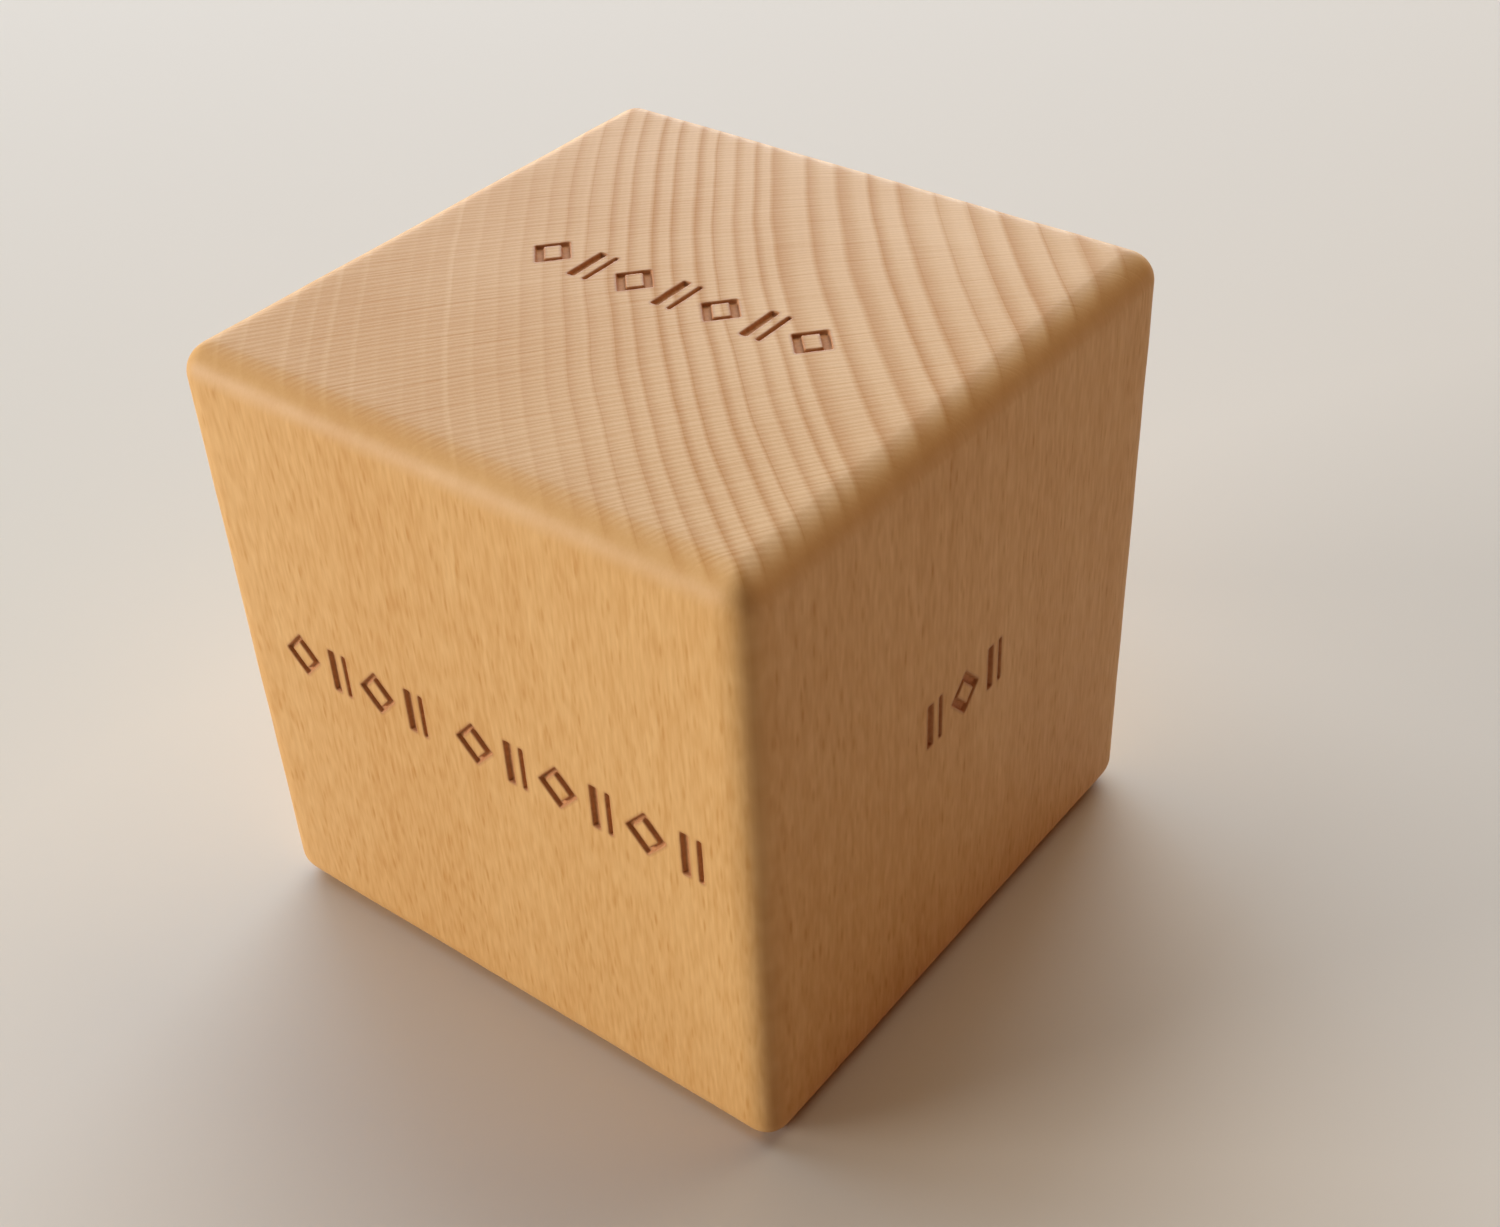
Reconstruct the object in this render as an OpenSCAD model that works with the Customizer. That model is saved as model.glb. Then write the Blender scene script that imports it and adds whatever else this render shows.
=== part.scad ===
// Small solid beech cube, sanded smooth, with rounded edges and ball-shaped corners.
// A row of plain marks is burnt a little way into the top, front and right faces.
// The grain runs up Z, the front face looks along -Y and the right face along +X.

/* [Block] */
// Height of the block, along the grain
block_h = 50; // [45:0.1:60]
// Width of the block across the grain, left to right
block_w = 49.5; // [46:0.1:60]
// Depth of the block across the grain, front to back
block_d = 49.1; // [46:0.1:60]
// Radius of the rounded edges and corners
edge_r = 2.4; // [0.5:0.1:3]

/* [Marks] */
// Height of every mark
mark_h = 3.7; // [2.5:0.1:5]
// Width of a lozenge
lozenge_w = 3.4; // [2.6:0.1:3.6]
// Width of a broad stroke
broad_w = 0.6; // [0.4:0.05:0.8]
// Width of a fine stroke
fine_w = 0.3; // [0.2:0.05:0.4]
// Clear space between the broad and the fine bar of a pair
pair_gap = 0.8; // [0.4:0.1:1]
// Clear space between neighbouring marks
mark_gap = 1.3; // [0.8:0.1:1.5]
// Depth of the burnt recess
mark_depth = 0.3; // [0.1:0.05:1]

/* [Top row] */
// Number of marks
top_marks = 7; // [1:1:9]
// Middle of the row, to the right of the middle of the face
top_row_x = 0; // [-4:0.1:4]
// Middle of the row, behind the middle of the face
top_row_y = 0; // [-15:0.1:15]

/* [Front row] */
// Number of marks in the left group
front_left_marks = 4; // [1:1:4]
// Number of marks in the right group
front_right_marks = 6; // [1:1:6]
// Space added between the two groups
group_gap = 1.8; // [0:0.1:2]
// Middle of the row, to the right of the middle of the face
front_row_x = 0.6; // [-1:0.1:1]
// Middle of the row, above the middle of the face
front_row_z = 1.4; // [-15:0.1:15]

/* [Right row] */
// Number of marks
right_marks = 3; // [1:1:9]
// Middle of the row, behind the middle of the face
right_row_y = -0.8; // [-4:0.1:4]
// Middle of the row, above the middle of the face
right_row_z = 1.5; // [-15:0.1:15]

/* [Hidden] */
$fn = 48;
pair_w = broad_w + pair_gap + fine_w;
// How far a cutter stands clear of the face that it cuts
cut_over = 0.5;

// Shapes take turns along a row, so a lozenge follows a pair of bars
function is_lozenge(i, first) = (i + first) % 2 == 0;
function mark_w(i, first) = is_lozenge(i, first) ? lozenge_w : pair_w;

// Left side of mark i, from the left end of its row
function mark_x(i, first, split) =
    i == 0 ? 0 : mark_x(i - 1, first, split) + mark_w(i - 1, first) + mark_gap + (i == split ? group_gap : 0);
function row_w(count, first, split) = mark_x(count - 1, first, split) + mark_w(count - 1, first);

// Lozenge centred on the origin, whose side lines lie lean_a and lean_b of the way out
module lozenge(lean_a, lean_b) {
    x = lozenge_w / 4;
    y = mark_h / 4;
    polygon([
        [x * (lean_a + lean_b), y * (lean_a - lean_b)],
        [x * (lean_b - lean_a), -y * (lean_a + lean_b)],
        [-x * (lean_a + lean_b), y * (lean_b - lean_a)],
        [x * (lean_a - lean_b), y * (lean_a + lean_b)]
    ]);
}

// Open lozenge with two broad sides and two fine ones, as a flat pen draws it
module lozenge_mark() {
    side_dist = lozenge_w * mark_h / (2 * norm([lozenge_w, mark_h]));
    translate([lozenge_w / 2, 0]) difference() {
        lozenge(1, 1);
        lozenge(1 - broad_w / side_dist, 1 - fine_w / side_dist);
    }
}

// A broad upright bar with a fine one beside it
module pair_mark() {
    translate([0, -mark_h / 2]) square([broad_w, mark_h]);
    translate([broad_w + pair_gap, -mark_h / 2]) square([fine_w, mark_h]);
}

// Row of marks centred on the origin. first is 0 where a lozenge leads, 1 where a pair of bars does.
module mark_row(count, first = 0, split = 0) {
    translate([-row_w(count, first, split) / 2, 0])
        for (i = [0 : count - 1])
            translate([mark_x(i, first, split), 0])
                if (is_lozenge(i, first)) lozenge_mark(); else pair_mark();
}

// Cutter for a row on the face z = 0, seen from above
module row_cut(count, first = 0, split = 0) {
    translate([0, 0, -mark_depth]) linear_extrude(mark_depth + cut_over) mark_row(count, first, split);
}

// Quarter of a rod along Z, centred on z = 0, with its square corner on the axis
module edge_rod(length) {
    rotate_extrude(angle = 90) translate([0, -length / 2]) square([edge_r, length]);
}

// Eighth of a ball, with its square corner on the origin
module corner_ball() {
    rotate_extrude(angle = 90) intersection() {
        circle(edge_r);
        square(edge_r);
    }
}

// Block centred on the origin: three slabs out to the flats, a rod along each edge, a ball in each corner
module rounded_block() {
    flat = [block_w - 2 * edge_r, block_d - 2 * edge_r, block_h - 2 * edge_r];
    cube([block_w, flat.y, flat.z], center = true);
    cube([flat.x, block_d, flat.z], center = true);
    cube([flat.x, flat.y, block_h], center = true);
    for (a = [0, 1], b = [0, 1]) {
        mirror([0, a, 0]) mirror([0, 0, b]) translate([0, flat.y, flat.z] / 2)
            rotate([90, 0, 90]) edge_rod(flat.x);
        mirror([a, 0, 0]) mirror([0, 0, b]) translate([flat.x, 0, flat.z] / 2)
            rotate([-90, -90, 0]) edge_rod(flat.y);
        mirror([a, 0, 0]) mirror([0, b, 0]) translate([flat.x, flat.y, 0] / 2)
            edge_rod(flat.z);
        for (c = [0, 1])
            mirror([a, 0, 0]) mirror([0, b, 0]) mirror([0, 0, c]) translate(flat / 2) corner_ball();
    }
}

module cube_block() {
    color("burlywood") translate([0, 0, block_h / 2]) difference() {
        rounded_block();
        translate([top_row_x, top_row_y, block_h / 2]) row_cut(top_marks);
        translate([front_row_x, -block_d / 2, front_row_z]) rotate([90, 0, 0])
            row_cut(front_left_marks + front_right_marks, split = front_left_marks);
        translate([block_w / 2, right_row_y, right_row_z]) rotate([90, 0, 90]) row_cut(right_marks, first = 1);
    }
}

cube_block();
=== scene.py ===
import math
import bmesh
import bpy
from mathutils import Matrix, Vector, noise
from mathutils.geometry import delaunay_2d_cdt


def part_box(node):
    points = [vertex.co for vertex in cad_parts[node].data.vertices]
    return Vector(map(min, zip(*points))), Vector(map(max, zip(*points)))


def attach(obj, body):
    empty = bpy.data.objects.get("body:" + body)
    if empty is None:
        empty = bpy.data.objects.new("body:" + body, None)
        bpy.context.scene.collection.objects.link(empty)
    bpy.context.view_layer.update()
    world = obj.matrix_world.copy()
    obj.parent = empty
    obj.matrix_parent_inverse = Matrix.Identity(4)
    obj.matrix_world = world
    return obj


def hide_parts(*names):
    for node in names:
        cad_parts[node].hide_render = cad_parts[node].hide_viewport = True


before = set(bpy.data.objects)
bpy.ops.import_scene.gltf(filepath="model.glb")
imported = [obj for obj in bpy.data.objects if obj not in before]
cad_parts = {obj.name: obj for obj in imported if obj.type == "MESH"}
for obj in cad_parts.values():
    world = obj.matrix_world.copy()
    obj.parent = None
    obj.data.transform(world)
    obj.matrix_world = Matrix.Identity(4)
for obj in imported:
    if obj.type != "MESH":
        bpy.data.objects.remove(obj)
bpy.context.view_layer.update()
mm = 0.001


def linearColour(hexText, alpha=1.0):
    # sRGB hex to the linear values that the shaders want
    parts = [int(hexText[i:i + 2], 16) / 255 for i in (1, 3, 5)]
    return [c / 12.92 if c <= 0.04045 else ((c + 0.055) / 1.055) ** 2.4 for c in parts] + [alpha]


def addNode(tree, kind, inputs=None, **settings):
    # inputs may be sockets to link or plain values to set
    node = tree.nodes.new("ShaderNode" + kind)
    for name, value in settings.items():
        setattr(node, name, value)
    for name, value in (inputs or {}).items():
        if isinstance(value, bpy.types.NodeSocket):
            tree.links.new(value, node.inputs[name])
        else:
            node.inputs[name].default_value = value
    return node


# Camera, fitted to the cube's outline
shot = {
    "place": (80.9, -93.0, 117.3),  # mm
    "aim": (4.0, 1.3, 23.0),        # mm
    "roll": -2.9,                   # degrees, clockwise lean of the picture
    "lens": 48.1,                   # mm
    "sensor": 36.0,                 # mm wide
    "nearest": 5.0,                 # mm, what lies nearer is cut off
}


def addCamera():
    data = bpy.data.cameras.new("shotCamera")
    data.sensor_width = shot["sensor"]
    data.lens = shot["lens"]
    data.clip_start = shot["nearest"] * mm
    camera = bpy.data.objects.new("shotCamera", data)
    bpy.context.scene.collection.objects.link(camera)
    place = Vector(shot["place"]) * mm
    look = (Vector(shot["aim"]) * mm - place).to_track_quat("-Z", "Y").to_matrix().to_4x4()
    roll = Matrix.Rotation(math.radians(shot["roll"]), 4, "Z")
    camera.matrix_world = Matrix.Translation(place) @ look @ roll
    bpy.context.scene.camera = camera


# The block, whose size comes from its part in model.glb
block = {
    "edgeRadius": 2.4 * mm,
    "uprightBulge": 2.4,      # power of the upright edges' curve: 2 is an arc, more is tighter in its middle
    "flatSteps": 56,          # grid steps across a flat
    "edgeSteps": 7,           # steps from a flat to the middle of a rounded edge
    "sandedDip": 0.03 * mm,   # how far hand sanding leaves the flats out of true
    "sandedEdge": 0.07 * mm,  # and the edges
    "dipLength": 14 * mm,     # from one dip to the next
    "edgeLength": 5 * mm,
    "edgeStart": 4,           # how soon the edges' dips set in: full where the turn's tangent is 1 / this
    "weld": 0.001 * mm,       # points nearer than this become one
}
# Out of each face, then the way to the right and the way up in it
faces = {
    "top": ((0, 0, 1), (1, 0, 0), (0, 1, 0)),
    "bottom": ((0, 0, -1), (1, 0, 0), (0, -1, 0)),
    "front": ((0, -1, 0), (1, 0, 0), (0, 0, 1)),
    "back": ((0, 1, 0), (-1, 0, 0), (0, 0, 1)),
    "right": ((1, 0, 0), (0, 1, 0), (0, 0, 1)),
    "left": ((-1, 0, 0), (0, -1, 0), (0, 0, 1)),
}

# Burnt marks: open lozenges in turn with pairs of bars, in mm
marks = {
    "height": 3.7,
    "lozengeWidth": 3.4,
    "broad": 0.6,
    "fine": 0.3,
    "pairGap": 0.8,
    "markGap": 1.3,
    "groupGap": 1.8,
    "depth": 0.3,
    "spot": 0.12,         # radius of the burning spot, which rounds the corners
    "tightest": 0.05,     # radius of the tightest corner in the mesh
    "arcSteps": 3,
    "sideStep": 0.3,      # length of a mesh step along a stroke
    "wander": 0.02,       # how far a stroke's side strays
    "wanderRates": (1.7, 5.0),   # strays for each mm, slow and quick
    "quickWander": 0.6,   # the quick ones against the slow ones
    "seedStep": 3.1,      # sets one stroke's strays apart from the next one's
    "clear": 0.25,        # room without grid points, round a stroke's widest ring
}
# Rings from the clean wood in to the floor: distance outside the outline, share of the depth, how burnt
burnRings = [
    (0.30, 0.0, 0.0),
    (0.14, 0.0, 0.3),
    (0.05, 0.0, 0.75),
    (0.00, 0.25, 1.0),
    (-0.04, 0.75, 1.0),
    (-0.08, 1.0, 1.0),
]
# Marks in each group, which shape leads (0 a lozenge, 1 a pair), and the row's middle in its face in mm
rows = {
    "top": {"groups": (7,), "first": 0, "middle": (0.0, 0.0)},
    "front": {"groups": (4, 6), "first": 0, "middle": (0.6, 1.4)},
    "right": {"groups": (3,), "first": 1, "middle": (-0.8, 1.5)},
}


def boxOutline(left, width):
    half = marks["height"] / 2
    return [Vector(p) for p in ((left, -half), (left + width, -half), (left + width, half), (left, half))]


def lozengeOutline(left, leanA, leanB):
    # leanA and leanB say how far out the two pairs of sides lie
    x = marks["lozengeWidth"] / 4
    y = marks["height"] / 4
    signs = ((1, 1), (1, -1), (-1, -1), (-1, 1))
    points = [Vector((x * (a * leanA + b * leanB), y * (a * leanA - b * leanB))) for a, b in signs]
    middle = Vector((left + marks["lozengeWidth"] / 2, 0))
    return [middle + p for p in points]


def rowOutlines(row):
    # (outline, island) pairs along a row, in mm, the island None where a stroke has none
    width, height = marks["lozengeWidth"], marks["height"]
    sideDist = width * height / (2 * math.hypot(width, height))   # from a lozenge's middle to its sides
    found = []
    left = 0.0
    count = 0
    for group, number in enumerate(row["groups"]):
        if group > 0:
            left += marks["groupGap"]
        for _ in range(number):
            if (count + row["first"]) % 2 == 0:
                island = lozengeOutline(left, 1 - marks["broad"] / sideDist, 1 - marks["fine"] / sideDist)
                found.append((lozengeOutline(left, 1, 1), island))
                left += width
            else:
                found.append((boxOutline(left, marks["broad"]), None))
                left += marks["broad"] + marks["pairGap"]
                found.append((boxOutline(left, marks["fine"]), None))
                left += marks["fine"]
            left += marks["markGap"]
            count += 1
    middle = Vector(row["middle"]) - Vector(((left - marks["markGap"]) / 2, 0))
    return [([p + middle for p in outline], island and [p + middle for p in island])
            for outline, island in found]


def ringPoints(outline, offset, seed):
    # The outline moved out by offset, its corners turned in arcs and its sides a little unsteady
    turn = max(marks["spot"] + offset, marks["tightest"])
    number = len(outline)
    sides = []
    for i, point in enumerate(outline):
        along = (outline[(i + 1) % number] - point).normalized()
        out = Vector((along.y, -along.x))
        sides.append((out, out.dot(point) - turn + offset))
    corners = []
    for i in range(number):
        (a, reachA), (b, reachB) = sides[i - 1], sides[i]
        area = a.x * b.y - a.y * b.x
        corners.append(Vector(((reachA * b.y - reachB * a.y) / area, (a.x * reachB - b.x * reachA) / area)))
    spokes = []
    for i, corner in enumerate(corners):
        before, after = sides[i - 1][0], sides[i][0]
        start = math.atan2(before.y, before.x)
        sweep = (math.atan2(after.y, after.x) - start) % (2 * math.pi)
        for k in range(marks["arcSteps"] + 1):
            angle = start + sweep * k / marks["arcSteps"]
            spokes.append((corner, Vector((math.cos(angle), math.sin(angle)))))
        nextCorner = corners[(i + 1) % number]
        steps = math.ceil((outline[(i + 1) % number] - outline[i]).length / marks["sideStep"])
        spokes += [(corner.lerp(nextCorner, k / steps), after) for k in range(1, steps)]
    found = []
    slow, quick = marks["wanderRates"]
    for base, out in spokes:
        stray = noise.noise(Vector((base.x * slow, base.y * slow, seed)))
        stray += marks["quickWander"] * noise.noise(Vector((base.x * quick, base.y * quick, seed)))
        found.append(base + out * (turn + marks["wander"] * stray))
    return found


def buildBlock():
    low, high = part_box("cube_block")
    middle = (low + high) / 2
    half = (high - low) / 2
    radius = block["edgeRadius"]
    mesh = bmesh.new()
    burnLayer = mesh.verts.layers.float.new("burn")

    def stations(length):
        # (place on the flat, tangent of the angle round the edge) along one axis of a face
        flat = length - radius
        steps = block["edgeSteps"]
        turn = [math.tan(math.radians(45) * k / steps) for k in range(1, steps + 1)]
        across = [(flat * (2 * k / block["flatSteps"] - 1), 0.0) for k in range(block["flatSteps"] + 1)]
        return [(-flat, -t) for t in reversed(turn)] + across + [(flat, t) for t in turn]

    def bulge(normal):
        # How much further than an arc an upright edge stands out
        level = math.hypot(normal.x, normal.y)
        if level == 0:
            return 1.0
        power = block["uprightBulge"]
        reach = (abs(normal.x / level) ** power + abs(normal.y / level) ** power) ** (-1 / power)
        return 1 + (reach - 1) * level ** 2

    def addVertex(face, u, v, depth=0.0, burnt=0.0):
        out, right, up = (Vector(axis) for axis in faces[face])
        reach = abs(out.dot(half)) - radius
        normal = (right * u[1] + up * v[1] + out).normalized()
        point = middle + right * u[0] + up * v[0] + out * reach + normal * radius * bulge(normal)
        onEdge = min(1.0, block["edgeStart"] * math.hypot(u[1], v[1]))
        dip = block["sandedDip"] * (0.5 + 0.5 * noise.noise(point / block["dipLength"]))
        dip += block["sandedEdge"] * onEdge * (0.5 + 0.5 * noise.noise(point / block["edgeLength"]))
        vertex = mesh.verts.new(point - normal * (dip + depth))
        vertex[burnLayer] = burnt
        return vertex

    for face, axes in faces.items():
        right, up = Vector(axes[1]), Vector(axes[2])
        us = stations(abs(right.dot(half)))
        vs = stations(abs(up.dot(half)))
        grid = [[addVertex(face, u, v) for v in vs] for u in us]
        inner = range(block["edgeSteps"], block["edgeSteps"] + block["flatSteps"])
        for i in range(len(us) - 1):
            for j in range(len(vs) - 1):
                if face in rows and i in inner and j in inner:
                    continue
                mesh.faces.new((grid[i][j], grid[i + 1][j], grid[i + 1][j + 1], grid[i][j + 1]))
        if face in rows:
            whole = range(inner.start, inner.stop + 1)
            flatGrid = [[grid[i][j] for j in whole] for i in whole]
            places = [[Vector((us[i][0], vs[j][0])) for j in whole] for i in whole]
            addMarks(mesh, face, flatGrid, places, addVertex)

    bmesh.ops.remove_doubles(mesh, verts=mesh.verts, dist=block["weld"])
    loose = [v for v in mesh.verts if not v.link_faces]
    bmesh.ops.delete(mesh, geom=loose, context="VERTS")
    for f in mesh.faces:
        f.smooth = True
    data = bpy.data.meshes.new("sandedBlock")
    mesh.to_mesh(data)
    mesh.free()
    piece = bpy.data.objects.new("sandedBlock", data)
    bpy.context.scene.collection.objects.link(piece)
    return piece


def addMarks(mesh, face, flatGrid, places, addVertex):
    # The flat of a marked face: its grid points, cut round each stroke, and the strokes' own rings
    last = len(flatGrid) - 1
    border = [(i, 0) for i in range(last)] + [(last, j) for j in range(last)]
    border += [(i, last) for i in range(last, 0, -1)] + [(0, j) for j in range(last, 0, -1)]
    borderLoop = [(places[i][j], flatGrid[i][j]) for i, j in border]
    outlines = rowOutlines(rows[face])
    clear = (burnRings[0][0] + marks["clear"]) * mm
    boxes = []
    for outline, _ in outlines:
        xs = [p.x * mm for p in outline]
        ys = [p.y * mm for p in outline]
        boxes.append((min(xs) - clear, max(xs) + clear, min(ys) - clear, max(ys) + clear))
    inside = [(places[i][j], flatGrid[i][j]) for i in range(1, last) for j in range(1, last)]
    inside = [(p, vertex) for p, vertex in inside
              if not any(a < p.x < b and c < p.y < d for a, b, c, d in boxes)]

    def addRings(outline, away, seed):
        # away is 1 where clean wood lies outside the outline, -1 where it is an island inside a stroke
        rings = []
        for offset, share, burnt in burnRings:
            ring = ringPoints(outline, offset * away, seed)
            depth = share * marks["depth"] * mm
            rings.append([(p * mm, addVertex(face, (p.x * mm, 0), (p.y * mm, 0), depth, burnt))
                          for p in ring])
        for outer, inner in zip(rings, rings[1:]):
            for k in range(len(outer)):
                quad = [outer[k - 1][1], outer[k][1], inner[k][1], inner[k - 1][1]]
                made = mesh.faces.new(quad if away > 0 else reversed(quad))
                made.material_index = 1 if inner[k][1][mesh.verts.layers.float["burn"]] == 1 else 0
        return rings[0], rings[-1]

    def fill(loops, extra=(), burnt=0):
        # Triangles inside the first loop and outside the others
        corners = [corner for loop in loops for corner in loop] + list(extra)
        starts = [sum(len(loop) for loop in loops[:k]) for k in range(len(loops))]
        bounds = [[start + k for k in range(len(loop))] for start, loop in zip(starts, loops)]
        nearest = 1e-9   # metres between points that count as one
        result = delaunay_2d_cdt([p for p, _ in corners], [], bounds, 1, nearest)
        for triangle, within in zip(result[2], result[5]):
            if 0 in within and len(within) == 1:
                made = mesh.faces.new([corners[result[3][k][0]][1] for k in triangle])
                made.material_index = burnt

    cuts = []
    for number, (outline, island) in enumerate(outlines):
        rim, floor = addRings(outline, 1, number * marks["seedStep"])
        cuts.append(rim)
        floorLoops = [floor]
        if island:
            islandRim, islandFloor = addRings(island, -1, number * marks["seedStep"] + 1)
            floorLoops.append(islandFloor)
            fill([islandRim])
        fill(floorLoops, burnt=1)
    fill([borderLoop] + cuts, inside)


# Beech cut from near the outside of a wide log, with the grain upright, lengths in mm
beech = {
    "palest": "#eac07e",
    "deepest": "#bd802e",           # blue goes first where the wood is darker
    "scorched": "#a4632f",
    "pith": (124.0, 114.0, 0.0),    # middle of the log, off the back right corner
    "rayDistance": 168.0,           # how far from the pith the ray widths are given
    "raySweep": (150.0, 200.0, -4.6),   # between which distances the rays swing round, and how far
    "bend": 0.4,                    # how far the rings stray
    "bendLength": (16.0, 16.0, 70.0),
    "wideRings": (130.7, 161.1, -3.0, 10.0),   # between which distances, and the ring number at each
    "closeRings": (161.1, 203.9, 0.0, 27.6),   # and the numbers that are added further out
    "ringWander": 0.22,             # in ring widths
    "wanderLength": 2.9,            # mm from one wander to the next
    "faintestRing": 0.5,            # against the darkest
    # Place in a ring, from its inner side, and how dark it is there: first and last, then those between
    "ringShade": [(0.0, 1.0), (1.0, 1.0), (0.2, 0.0), (0.55, 0.12)],
    "paleSheenBand": [(0.0, 0.0), (1.0, 0.0), (0.1, 1.0), (0.17, 1.0), (0.42, 0.0)],   # in the rings further out: paler earlywood, with the sheen of its pores painted in as pale colour
    "outerShade": 0.3,              # of those rings, beside their pale bands
    "outerFrom": (166.0, 186.0),    # where the one kind gives way to the other
    "ringDepth": 0.55,              # how far a ring goes from the palest colour to the deepest
    "sideRings": 0.15,              # how much of the rings shows on the sides
    "raySize": (0.42, 2.8, 12.0),   # room for each large ray: across, upright, towards the pith
    "rayLens": (0.08, 0.34),        # half-width of a fleck and of its soft edge, in that room
    "fleckFacing": (0.2, 0.6),      # how squarely a side faces the pith, from and to
    "fleckWeight": (0.3, 1.2),      # and how strong its flecks are there
    "hairSize": (0.26, 2.2, 9.0),   # fine rays on the sides, real ones are 0.1 mm or less, too fine to show
    "hatchSize": (0.47, 9.0, 5.0),  # the same on the end grain: from one to the next, upright, along one
    "hatchStray": 5.0,              # how unevenly they lie, in radians of their wave
    "hatchRate": 1.6,               # how quickly that changes
    "poreSize": (0.15, 0.15, 3.2),  # twice as wide as real ones, which are too fine to show
    "cloudSize": (15.0, 15.0, 40.0),
    "streakSize": (1.3, 1.3, 16.0),   # soft streaks up the sides
    "noiseRange": (0.25, 0.75),     # what the noise mostly keeps to
    # How upright the surface faces, from and to: where the end grain takes over from the sides, where the
    # rays show on the end grain, and where they show on the sides
    "endFacing": (0.55, 0.99),
    "topFacing": (0.85, 0.995),
    "sideFacing": (0.35, 0.05),
    # Shade, from 0 for the palest wood to 1 for the deepest
    "shade": 0.4,
    "sideFleck": 0.165,
    "endFleck": 0.1,
    "hairShade": (0.09, 0.15),      # of the fine rays on the end grain, near the pith and far out
    "hairsFrom": (140.0, 170.0),    # between which distances that changes
    "sideHairShade": 0.3,
    "poreShade": 0.08,
    "cloudShade": 0.16,
    "streakShade": 0.13,
    "outerShadeMore": 0.16,         # the side away from the pith is the darker one
    "outerShadeFrom": (140.0, 195.0),
    "roughness": (0.48, 0.66),      # of the palest wood and the deepest, which is more open
    "ior": 1.4,                     # lower than solid wood's, for the open pores
    "relief": 0.004,                # height of the raised grain
}
soft = "SMOOTHSTEP"          # for a range that begins and ends gently
oneWave = 2 * math.pi / 20   # scale of a Wave texture with one wave in each unit of its space


def logPlaces(tree, coords):
    # Place in the block in mm, then place in the log: round the pith, up the trunk and out from the pith
    place = addNode(tree, "VectorMath", {0: coords["Object"], "Scale": 1 / mm}, operation="SCALE").outputs[0]
    bend = addNode(tree, "VectorMath", {0: place, 1: beech["bendLength"]}, operation="DIVIDE").outputs[0]
    bend = addNode(tree, "TexNoise", {"Vector": bend, "Scale": 1.0, "Detail": 2.0}).outputs["Color"]
    bend = addNode(tree, "VectorMath", {0: bend, 1: (0.5, 0.5, 0.5)}, operation="SUBTRACT").outputs[0]
    reach = [2 * beech["bend"]] * 3
    bent = addNode(tree, "VectorMath", {0: bend, 1: reach, 2: place}, operation="MULTIPLY_ADD").outputs[0]
    out = addNode(tree, "VectorMath", {0: bent, 1: beech["pith"]}, operation="SUBTRACT").outputs[0]
    out = addNode(tree, "VectorMath", {0: out, 1: (1, 1, 0)}, operation="MULTIPLY").outputs[0]
    radius = addNode(tree, "VectorMath", {0: out}, operation="LENGTH").outputs["Value"]
    outParts = addNode(tree, "SeparateXYZ", {0: out}).outputs
    turn = addNode(tree, "Math", {0: outParts[1], 1: outParts[0]}, operation="ARCTAN2").outputs[0]
    turn = addNode(tree, "Math", {0: turn, 1: beech["rayDistance"]}, operation="MULTIPLY").outputs[0]
    start, end, reach = beech["raySweep"]
    sweep = addNode(tree, "MapRange", {0: radius, 1: start, 2: end}).outputs[0]
    sweep = addNode(tree, "Math", {0: sweep, 1: sweep}, operation="MULTIPLY").outputs[0]
    turn = addNode(tree, "Math", {0: sweep, 1: reach, 2: turn}, operation="MULTIPLY_ADD").outputs[0]
    upright = addNode(tree, "SeparateXYZ", {0: place}).outputs[2]
    polar = addNode(tree, "CombineXYZ", {0: turn, 1: upright, 2: radius}).outputs[0]
    return place, out, radius, polar


def growthRings(tree, radius):
    # How dark the wood is in its growth ring: light where each begins, darker and denser to its outer side
    number = addNode(tree, "Math", {0: radius, 1: beech["wanderLength"]}, operation="DIVIDE").outputs[0]
    wander = {"W": number, "Scale": 1.0, "Detail": 1.0}
    number = addNode(tree, "TexNoise", wander, noise_dimensions="1D").outputs[0]
    number = addNode(tree, "Math", {0: number, 1: 2 * beech["ringWander"]}, operation="MULTIPLY").outputs[0]
    for band in ("wideRings", "closeRings"):
        start, end, first, last = beech[band]
        part = addNode(tree, "MapRange", {0: radius, 1: start, 2: end, 3: first, 4: last}).outputs[0]
        number = addNode(tree, "Math", {0: number, 1: part}, operation="ADD").outputs[0]
    phase = addNode(tree, "Math", {0: number}, operation="FRACT").outputs[0]
    ring = addNode(tree, "Math", {0: number}, operation="FLOOR").outputs[0]
    chance = addNode(tree, "TexWhiteNoise", {"W": ring}, noise_dimensions="1D").outputs["Value"]
    strength = addNode(tree, "MapRange", {0: chance, 3: beech["faintestRing"], 4: 1.0}).outputs[0]
    ramps = []
    for stops in (beech["ringShade"], beech["paleSheenBand"]):
        ramp = addNode(tree, "ValToRGB", {0: phase})
        for k, (at, value) in enumerate(stops):
            stop = ramp.color_ramp.elements[k] if k < 2 else ramp.color_ramp.elements.new(at)
            stop.position = at
            stop.color = (value, value, value, 1)
        ramps.append(ramp.outputs[0])
    inner = addNode(tree, "Math", {0: ramps[0], 1: strength}, operation="MULTIPLY").outputs[0]
    # Pale bands of the rings further out: paler earlywood, partly a painted sheen of its pores
    band = addNode(tree, "Math", {0: ramps[1], 1: chance}, operation="MULTIPLY").outputs[0]
    outer = addNode(tree, "MapRange", {0: band, 3: beech["outerShade"], 4: 0.0}).outputs[0]
    start, end = beech["outerFrom"]
    far = addNode(tree, "MapRange", {0: radius, 1: start, 2: end}, interpolation_type=soft).outputs[0]
    return addNode(tree, "Mix", {0: far, 2: inner, 3: outer}).outputs[0]


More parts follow.
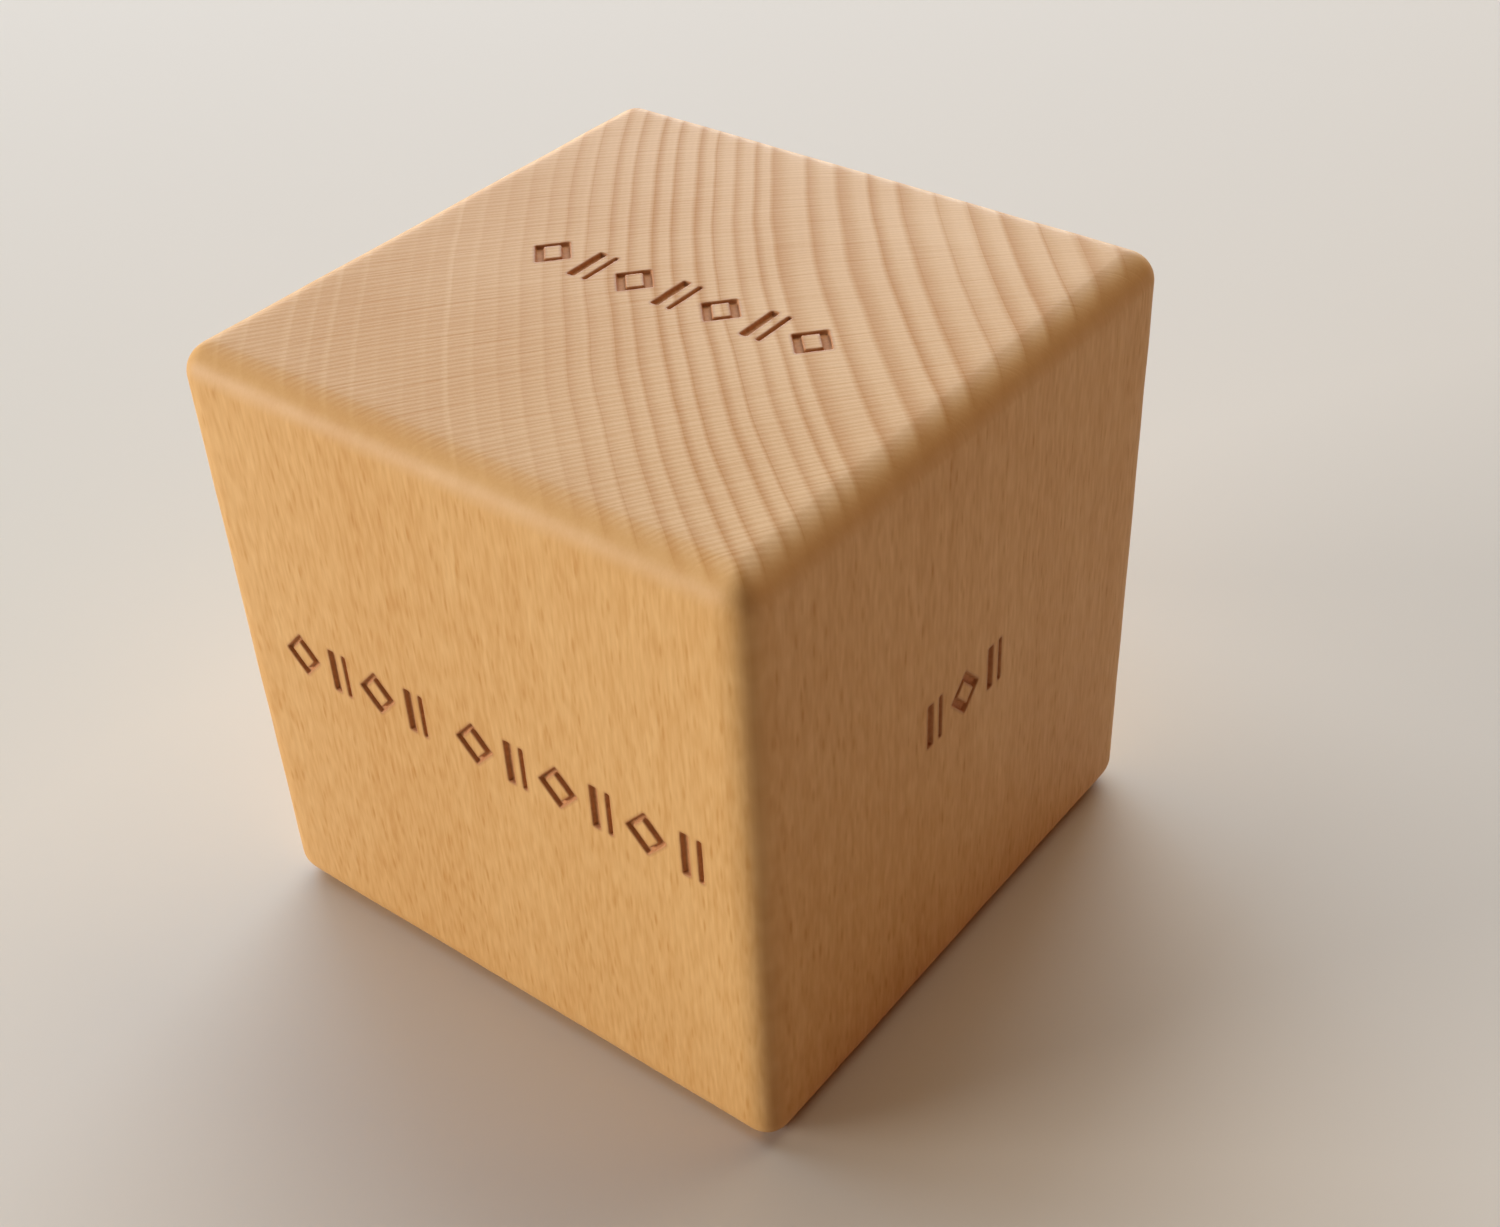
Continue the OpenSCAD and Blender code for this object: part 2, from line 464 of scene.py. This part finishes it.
def grain(tree, place, size, kind="TexNoise", detail=2.0):
    # Noise drawn out to the given size each way
    room = addNode(tree, "VectorMath", {0: place, 1: size}, operation="DIVIDE").outputs[0]
    if kind == "TexVoronoi":
        return addNode(tree, kind, {"Vector": room, "Scale": 1.0}).outputs["Distance"]
    return addNode(tree, kind, {"Vector": room, "Scale": 1.0, "Detail": detail}).outputs[0]


def sandedBeech():
    # Beech, sanded fine and wiped with a thin coat of oil: satin, pinkish tan, with growth rings on the end
    # grain, and short dark ray flecks and hair-thin pore lines on the sides
    material = bpy.data.materials.new("sandedBeech")
    material.use_nodes = True
    tree = material.node_tree
    tree.nodes.clear()
    coords = addNode(tree, "TexCoord").outputs
    place, out, radius, polar = logPlaces(tree, coords)

    # 1 on the end grain and 0 on the sides, and how far a side faces out from the pith
    surface = coords["Normal"]
    facing = addNode(tree, "SeparateXYZ", {0: surface}).outputs[2]
    facing = addNode(tree, "Math", {0: facing}, operation="ABSOLUTE").outputs[0]
    start, end = beech["endFacing"]
    endGrain = addNode(tree, "MapRange", {0: facing, 1: start, 2: end}, interpolation_type=soft).outputs[0]
    outward = addNode(tree, "VectorMath", {0: out}, operation="NORMALIZE").outputs[0]
    outward = addNode(tree, "VectorMath", {0: outward, 1: surface}, operation="DOT_PRODUCT").outputs[1]
    outward = addNode(tree, "Math", {0: outward}, operation="ABSOLUTE").outputs[0]

    rings = growthRings(tree, radius)
    shown = addNode(tree, "MapRange", {0: endGrain, 3: beech["sideRings"], 4: 1.0}).outputs[0]
    rings = addNode(tree, "Math", {0: rings, 1: shown}, operation="MULTIPLY").outputs[0]

    # Large rays: lens-shaped flecks on the sides, long thin lines on the end grain
    rays = grain(tree, polar, beech["raySize"], "TexVoronoi")
    low, high = beech["rayLens"]
    lens = {0: rays, 1: low, 2: high, 3: 1.0, 4: 0.0}
    rays = addNode(tree, "MapRange", lens, interpolation_type=soft).outputs[0]
    low, high = beech["fleckFacing"]
    least, most = beech["fleckWeight"]
    lying = addNode(tree, "MapRange", {0: outward, 1: low, 2: high, 3: least, 4: most}).outputs[0]
    lying = addNode(tree, "Mix", {0: endGrain, 2: lying, 3: 1.0}).outputs[0]
    rays = addNode(tree, "Math", {0: rays, 1: lying}, operation="MULTIPLY").outputs[0]

    # Fine rays: hair-thin streaks on the sides, an even hatch on the end grain
    hairs = grain(tree, polar, beech["hairSize"], detail=1.0)
    room = addNode(tree, "VectorMath", {0: polar, 1: beech["hatchSize"]}, operation="DIVIDE").outputs[0]
    hatch = {"Vector": room, "Scale": oneWave, "Distortion": beech["hatchStray"], "Detail": 1.0,
             "Detail Scale": beech["hatchRate"]}
    hatch = addNode(tree, "TexWave", hatch).outputs["Fac"]
    hairs = addNode(tree, "Mix", {0: endGrain, 2: hairs, 3: hatch}).outputs[0]
    pores = grain(tree, place, beech["poreSize"])
    cloud = grain(tree, place, beech["cloudSize"])
    streak = grain(tree, place, beech["streakSize"])
    streak = addNode(tree, "Mix", {0: endGrain, 2: streak, 3: 0.5}).outputs[0]

    # Shade of both kinds of ray, which fade out on the rounded edges
    onEnd, onSide = (addNode(tree, "MapRange", {0: facing, 1: beech[key][0], 2: beech[key][1]}).outputs[0]
                     for key in ("topFacing", "sideFacing"))
    fleckShade = addNode(tree, "Math", {0: onEnd, 1: beech["endFleck"]}, operation="MULTIPLY").outputs[0]
    both = {0: onSide, 1: beech["sideFleck"], 2: fleckShade}
    fleckShade = addNode(tree, "Math", both, operation="MULTIPLY_ADD").outputs[0]
    flecks = addNode(tree, "Math", {0: rays, 1: fleckShade}, operation="MULTIPLY").outputs[0]
    start, end = beech["hairsFrom"]
    near, far = beech["hairShade"]
    hairShade = addNode(tree, "MapRange", {0: radius, 1: start, 2: end, 3: near, 4: far}).outputs[0]
    hairShade = addNode(tree, "Math", {0: hairShade, 1: onEnd}, operation="MULTIPLY").outputs[0]
    both = {0: onSide, 1: beech["sideHairShade"], 2: hairShade}
    hairShade = addNode(tree, "Math", both, operation="MULTIPLY_ADD").outputs[0]
    low, high = beech["noiseRange"]
    swing = addNode(tree, "MapRange", {0: hairs, 1: low, 2: high, 3: 0.5, 4: -0.5}).outputs[0]
    shade = addNode(tree, "Math", {0: swing, 1: hairShade, 2: flecks}, operation="MULTIPLY_ADD").outputs[0]

    # Each other pattern with the values that it runs between, and what it adds to the shade at either end
    nearest, furthest = beech["outerShadeFrom"]
    for source, first, last, start, end in (
            (rings, 0.0, 1.0, 0.0, beech["ringDepth"]),
            (pores, low, high, -beech["poreShade"] / 2, beech["poreShade"] / 2),
            (cloud, low, high, beech["cloudShade"] / 2, -beech["cloudShade"] / 2),
            (streak, low, high, beech["streakShade"] / 2, -beech["streakShade"] / 2),
            (radius, nearest, furthest, -beech["outerShadeMore"] / 2, beech["outerShadeMore"] / 2)):
        part = addNode(tree, "MapRange", {0: source, 1: first, 2: last, 3: start, 4: end}).outputs[0]
        shade = addNode(tree, "Math", {0: shade, 1: part}, operation="ADD").outputs[0]
    shade = addNode(tree, "Math", {0: shade, 1: beech["shade"]}, operation="ADD").outputs[0]
    pale, deep = linearColour(beech["palest"]), linearColour(beech["deepest"])
    colour = addNode(tree, "Mix", {0: shade, 6: pale, 7: deep}, data_type="RGBA").outputs[2]
    burn = addNode(tree, "Attribute", attribute_name="burn").outputs["Fac"]
    scorched = linearColour(beech["scorched"])
    colour = addNode(tree, "Mix", {0: burn, 6: colour, 7: scorched}, data_type="RGBA").outputs[2]

    # Satin surface with a little raised grain
    height = addNode(tree, "Math", {0: pores, 1: rays}, operation="SUBTRACT").outputs[0]
    height = addNode(tree, "Math", {0: height, 1: hairs}, operation="ADD").outputs[0]
    normal = addNode(tree, "Bump", {"Height": height, "Distance": beech["relief"] * mm}).outputs[0]
    smooth, rough = beech["roughness"]
    gloss = addNode(tree, "MapRange", {0: shade, 3: smooth, 4: rough}).outputs[0]
    finish = {"Base Color": colour, "Roughness": gloss, "IOR": beech["ior"], "Normal": normal}
    shader = addNode(tree, "BsdfPrincipled", finish).outputs[0]
    addNode(tree, "OutputMaterial", {"Surface": shader})
    return material


# Beech charred by a small laser
charred = {
    "char": "#a46836",
    "pale": "#d0955c",
    "patch": 0.4,      # mm across a patch of char
    "relief": 0.05,    # mm
    "roughness": 0.8,
}


def laserBurntBeech():
    # Charred beech: dull dark brown, mottled where the burn went less deep
    material = bpy.data.materials.new("laserBurntBeech")
    material.use_nodes = True
    tree = material.node_tree
    tree.nodes.clear()
    place = addNode(tree, "TexCoord").outputs["Object"]
    place = addNode(tree, "VectorMath", {0: place, "Scale": 1 / mm}, operation="SCALE").outputs[0]
    char = grain(tree, place, [charred["patch"]] * 3, detail=4.0)
    dark, pale = linearColour(charred["char"]), linearColour(charred["pale"])
    colour = addNode(tree, "Mix", {0: char, 6: dark, 7: pale}, data_type="RGBA").outputs[2]
    normal = addNode(tree, "Bump", {"Height": char, "Distance": charred["relief"] * mm}).outputs[0]
    finish = {"Base Color": colour, "Roughness": charred["roughness"], "Normal": normal}
    shader = addNode(tree, "BsdfPrincipled", finish).outputs[0]
    addNode(tree, "OutputMaterial", {"Surface": shader})
    return material


# Plain soft studio: a wide pale floor, a softbox low on the left, cool windows behind and high on the left,
# a warmer one high behind, a thin strip along the far rims, and a weak warm lamp on the right
studio = {
    "floor": "#d8cfba",
    "floorSize": 6.0,        # metres
    "floorRoughness": 0.8,
    "world": "#fff1e0",
    "worldStrength": 0.02,
    "aimHeight": 25.0,       # mm, the middle of the block
    # Way towards each lamp from the block, then metres away, width, height, colour, watts
    "lamps": {
        "sideSoftbox": ((-0.68, -0.73, 0.14), 1.8, 0.8, 0.48, "#fff8fb", 30.5),
        "backWindow": ((-0.55, 0.72, 0.42), 1.8, 1.8, 1.2, "#bcd8ff", 28.5),
        "highWindow": ((-0.08, 0.54, 0.84), 1.8, 1.8, 1.0, "#ffecd6", 15.4),
        "skylight": ((-0.58, 0.0, 0.81), 1.8, 1.2, 1.2, "#d6e4ff", 14.8),
        "rimStrip": ((-0.66, 0.75, 0.08), 1.8, 2.2, 0.32, "#fff8ec", 14.0),
        "warmFill": ((1.0, 0.2, 0.3), 1.6, 1.0, 0.8, "#ff7a28", 2.1),
    },
}


def addStudio():
    bpy.ops.mesh.primitive_plane_add(size=studio["floorSize"], location=(0, 0, 0))
    floor = bpy.context.object
    floor.name = "studioFloor"
    material = bpy.data.materials.new("mattPaper")
    material.use_nodes = True
    shader = material.node_tree.nodes["Principled BSDF"]
    shader.inputs["Base Color"].default_value = linearColour(studio["floor"])
    shader.inputs["Roughness"].default_value = studio["floorRoughness"]
    floor.data.materials.append(material)
    world = bpy.data.worlds.new("studioWorld")
    world.use_nodes = True
    background = world.node_tree.nodes["Background"]
    background.inputs["Color"].default_value = linearColour(studio["world"])
    background.inputs["Strength"].default_value = studio["worldStrength"]
    bpy.context.scene.world = world
    aim = Vector((0, 0, studio["aimHeight"] * mm))
    for name, (way, distance, width, height, colour, watts) in studio["lamps"].items():
        light = bpy.data.lights.new(name, "AREA")
        light.shape = "RECTANGLE"
        light.size = width
        light.size_y = height
        light.color = linearColour(colour)[:3]
        light.energy = watts
        lamp = bpy.data.objects.new(name, light)
        bpy.context.scene.collection.objects.link(lamp)
        toLamp = Vector(way).normalized()
        turn = (-toLamp).to_track_quat("-Z", "Y").to_matrix().to_4x4()
        lamp.matrix_world = Matrix.Translation(aim + toLamp * distance) @ turn
    bpy.context.scene.view_settings.view_transform = "Standard"


addCamera()
print("camera", shot["lens"], "mm")
piece = buildBlock()
print("block", len(piece.data.vertices), "vertices", len(piece.data.polygons), "faces")
piece.data.materials.append(sandedBeech())
piece.data.materials.append(laserBurntBeech())
print("materials", [material.name for material in piece.data.materials])
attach(piece, "root")
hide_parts("cube_block")
addStudio()
print("studio", len(studio["lamps"]), "lamps")
